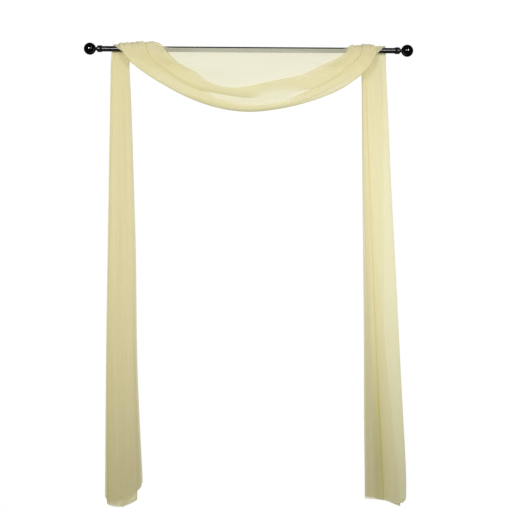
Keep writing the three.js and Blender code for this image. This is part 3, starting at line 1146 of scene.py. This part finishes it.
@dataclass(frozen=True)
class Pole:
    """A round steel tube."""

    paint: BlackEnamel
    turning: Turning = Turning()
    diameter: float = 25 * MM
    wall: float = 1.5 * MM
    length: float = 1369 * MM

    def build(self) -> None:
        """Turns the tube."""
        outside, inside, half = self.diameter / 2, self.diameter / 2 - self.wall, self.length / 2
        places = [(-half, inside), (-half, outside), (half, outside), (half, inside)]
        bm = bmesh.new()
        self.turning.profile(bm, places, closed=True)
        self.turning.spin(bm, Side.RIGHT, [outside])
        piece = finished_piece("painted_pole", bm, self.paint.material())
        stand_for(piece, "pole")


@dataclass(frozen=True)
class PoleEnd:
    """A cap over the tube's end and the ball finial that its stud holds."""

    pole: Pole
    side: Side
    ball_paint: BlackEnamel
    cap_diameter: float = 31 * MM
    cap_grip: float = 18 * MM
    cap_wall: float = 5 * MM
    cap_chamfer: float = 5 * MM
    ball_diameter: float = 55 * MM
    neck_diameter: float = 16 * MM
    neck_length: float = 5.5 * MM
    stud_diameter: float = 8 * MM
    stud_length: float = 9 * MM
    fit: float = 0.3 * MM
    ball_steps: int = 40

    @property
    def cap_end(self) -> float:
        """The cap's outer end along X."""
        return self.pole.length / 2 + self.fit + self.cap_wall

    def build_cap(self) -> None:
        """Turns the cap, a cup over the tube with a hole for the stud."""
        outside, socket = self.cap_diameter / 2, self.pole.diameter / 2 + self.fit
        hole, half = self.stud_diameter / 2 + self.fit, self.pole.length / 2
        shoulder = outside - self.cap_chamfer
        places = [
            (half + self.fit, hole),
            (half + self.fit, socket),
            (half - self.cap_grip, socket),
            (half - self.cap_grip, outside),
            (self.cap_end - self.cap_chamfer, outside),
            (self.cap_end, shoulder),
            (self.cap_end, hole),
        ]
        bm = bmesh.new()
        self.pole.turning.profile(bm, places, closed=True)
        self.pole.turning.spin(bm, self.side, [outside, shoulder])
        name = self.side.name.lower()
        piece = finished_piece(f"painted_cap_{name}", bm, self.pole.paint.material())
        stand_for(piece, f"end_cap_{name}")

    def build_finial(self) -> None:
        """Turns the finial: its stud, its neck and its ball."""
        ball, neck, stud = self.ball_diameter / 2, self.neck_diameter / 2, self.stud_diameter / 2
        seat = self.cap_end + self.fit
        inner_end, neck_end = seat - self.stud_length, seat + self.neck_length
        start = math.asin(neck / ball)
        bm = bmesh.new()
        places = [(inner_end, 0), (inner_end, stud), (seat, stud), (seat, neck), (neck_end, neck)]
        corners = self.pole.turning.profile(bm, places, closed=False)
        bmesh.ops.spin(
            bm,
            geom=[corners[-1]],
            cent=(neck_end + ball * math.cos(start), 0, 0),
            axis=(0, 1, 0),
            angle=math.pi - start,
            steps=self.ball_steps,
        )
        self.pole.turning.spin(bm, self.side, [neck])
        name = self.side.name.lower()
        piece = finished_piece(f"ball_finial_{name}", bm, self.ball_paint.material())
        stand_for(piece, f"finial_{name}")


# The studio


@dataclass(frozen=True)
class Lamp:
    """A large round studio lamp far in front of the part, whose soft cone fades towards the hems."""

    name: str
    place: tuple[float, float, float]
    target: tuple[float, float, float]
    power: float
    cone_deg: float
    softness: float
    radius: float = 0.9

    def build(self) -> None:
        """Sets up the lamp and aims it."""
        light = bpy.data.lights.new(self.name, "SPOT")
        light.shadow_soft_size = self.radius
        light.spot_size = math.radians(self.cone_deg)
        light.spot_blend = self.softness
        light.energy = self.power
        lamp = bpy.data.objects.new(self.name, light)
        lamp.location = self.place
        aim = [t - p for t, p in zip(self.target, self.place)]
        flat = math.hypot(aim[0], aim[1])
        lamp.rotation_euler = (math.pi / 2 + math.atan2(aim[2], flat), 0, math.atan2(-aim[0], aim[1]))
        bpy.context.scene.collection.objects.link(lamp)


@dataclass(frozen=True)
class Studio:
    """The camera, the white surroundings, the lights and the floor.

    Each lamp lights mainly its own tail. The surroundings' soft light is a touch greener than the lamps.
    """

    camera_place: tuple[float, float, float] = (0.0357, -6.0, -0.9338)
    camera_roll_deg: float = 0.385
    seen_width: float = 2.3205
    sensor_mm: float = 36.0
    fill: float = 0.34
    fill_colour: str = "#F6FEF5"
    mirrored: float = 0.02
    floor_height: float = -2.4
    floor_low: tuple[float, float] = (-2.2, -2.4)
    floor_high: tuple[float, float] = (2.2, 1.5)
    floor_thickness: float = 0.02
    clear_layers: int = 48
    lamps: tuple[Lamp, ...] = (
        Lamp("lamp_left", (-2.1, -5.2, 0.6), (-1.36, 0.0, -0.26), 955.0, cone_deg=49.0, softness=0.93),
        Lamp("lamp_right", (2.3, -5.2, 0.6), (0.8, 0.0, -0.74), 1150.0, cone_deg=33.0, softness=0.96),
    )

    def build(self) -> None:
        """Sets up the camera, the surroundings, the lights and the floor."""
        self._camera()
        self._surroundings()
        for lamp in self.lamps:
            lamp.build()
        self._floor(PaleFloor())

    def _camera(self) -> None:
        """Stands the camera level with the middle of the drop, turned a little about its own axis."""
        camera = bpy.data.cameras.new("photo_camera")
        camera.sensor_width = self.sensor_mm
        camera.lens = self.sensor_mm * -self.camera_place[1] / self.seen_width
        stand = bpy.data.objects.new("photo_camera", camera)
        stand.location = self.camera_place
        stand.rotation_euler = (math.pi / 2, -math.radians(self.camera_roll_deg), 0)
        bpy.context.scene.collection.objects.link(stand)
        bpy.context.scene.camera = stand

    def _surroundings(self) -> None:
        """Makes a white surround that lights the part softly and stays dark in the gloss of the paint."""
        world = bpy.data.worlds.new("white_surround")
        world.use_nodes = True
        tree = world.node_tree
        tree.nodes.clear()
        white = "#FFFFFF"
        seen, light, gloss = (
            add_node(tree, "ShaderNodeBackground", {"Color": linear(colour), "Strength": strength}).outputs[0]
            for colour, strength in ((white, 1.0), (self.fill_colour, self.fill), (white, self.mirrored))
        )
        ray = add_node(tree, "ShaderNodeLightPath").outputs
        unseen = add_node(tree, "ShaderNodeMixShader", {0: ray["Is Glossy Ray"], 1: light, 2: gloss})
        both = add_node(tree, "ShaderNodeMixShader", {0: ray["Is Camera Ray"], 1: unseen.outputs[0], 2: seen})
        add_node(tree, "ShaderNodeOutputWorld", {"Surface": both.outputs[0]})
        scene = bpy.context.scene
        scene.world = world
        scene.view_settings.view_transform = "Standard"
        scene.cycles.transparent_max_bounces = self.clear_layers

    def _floor(self, board: PaleFloor) -> None:
        """Lays the floor below the hems.

        Args:
            board: The floor's finish.
        """
        (low_x, low_y), (high_x, high_y), thick = self.floor_low, self.floor_high, self.floor_thickness
        bm = bmesh.new()
        bmesh.ops.create_cube(bm, size=1.0)
        bmesh.ops.scale(bm, vec=(high_x - low_x, high_y - low_y, thick), verts=bm.verts)
        middle = ((low_x + high_x) / 2, (low_y + high_y) / 2, self.floor_height - thick / 2)
        bmesh.ops.translate(bm, vec=middle, verts=bm.verts)
        bmesh.ops.bevel(
            bm, geom=bm.edges, offset=thick / 4, affect="EDGES", segments=2, profile=0.5, material=-1
        )
        floor = finished_piece("studio_floor", bm, board.material())
        floor.visible_glossy = False  # keeps the balls' undersides black


def main() -> None:
    """Builds the studio, the scarf, the pole and its ends."""
    logging.basicConfig(level=logging.INFO, format="%(name)s %(message)s")
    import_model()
    Studio().build()
    pole = Pole(BlackEnamel("black_stove_enamel", roughness=0.15, ior=1.4))
    ball_paint = BlackEnamel("black_gloss_enamel", roughness=0.05, ior=1.75)
    pole.build()
    for side in Side:
        end = PoleEnd(pole, side, ball_paint)
        end.build_cap()
        end.build_finial()
    Scarf().build(Voile())


if __name__ == "__main__":
    main()
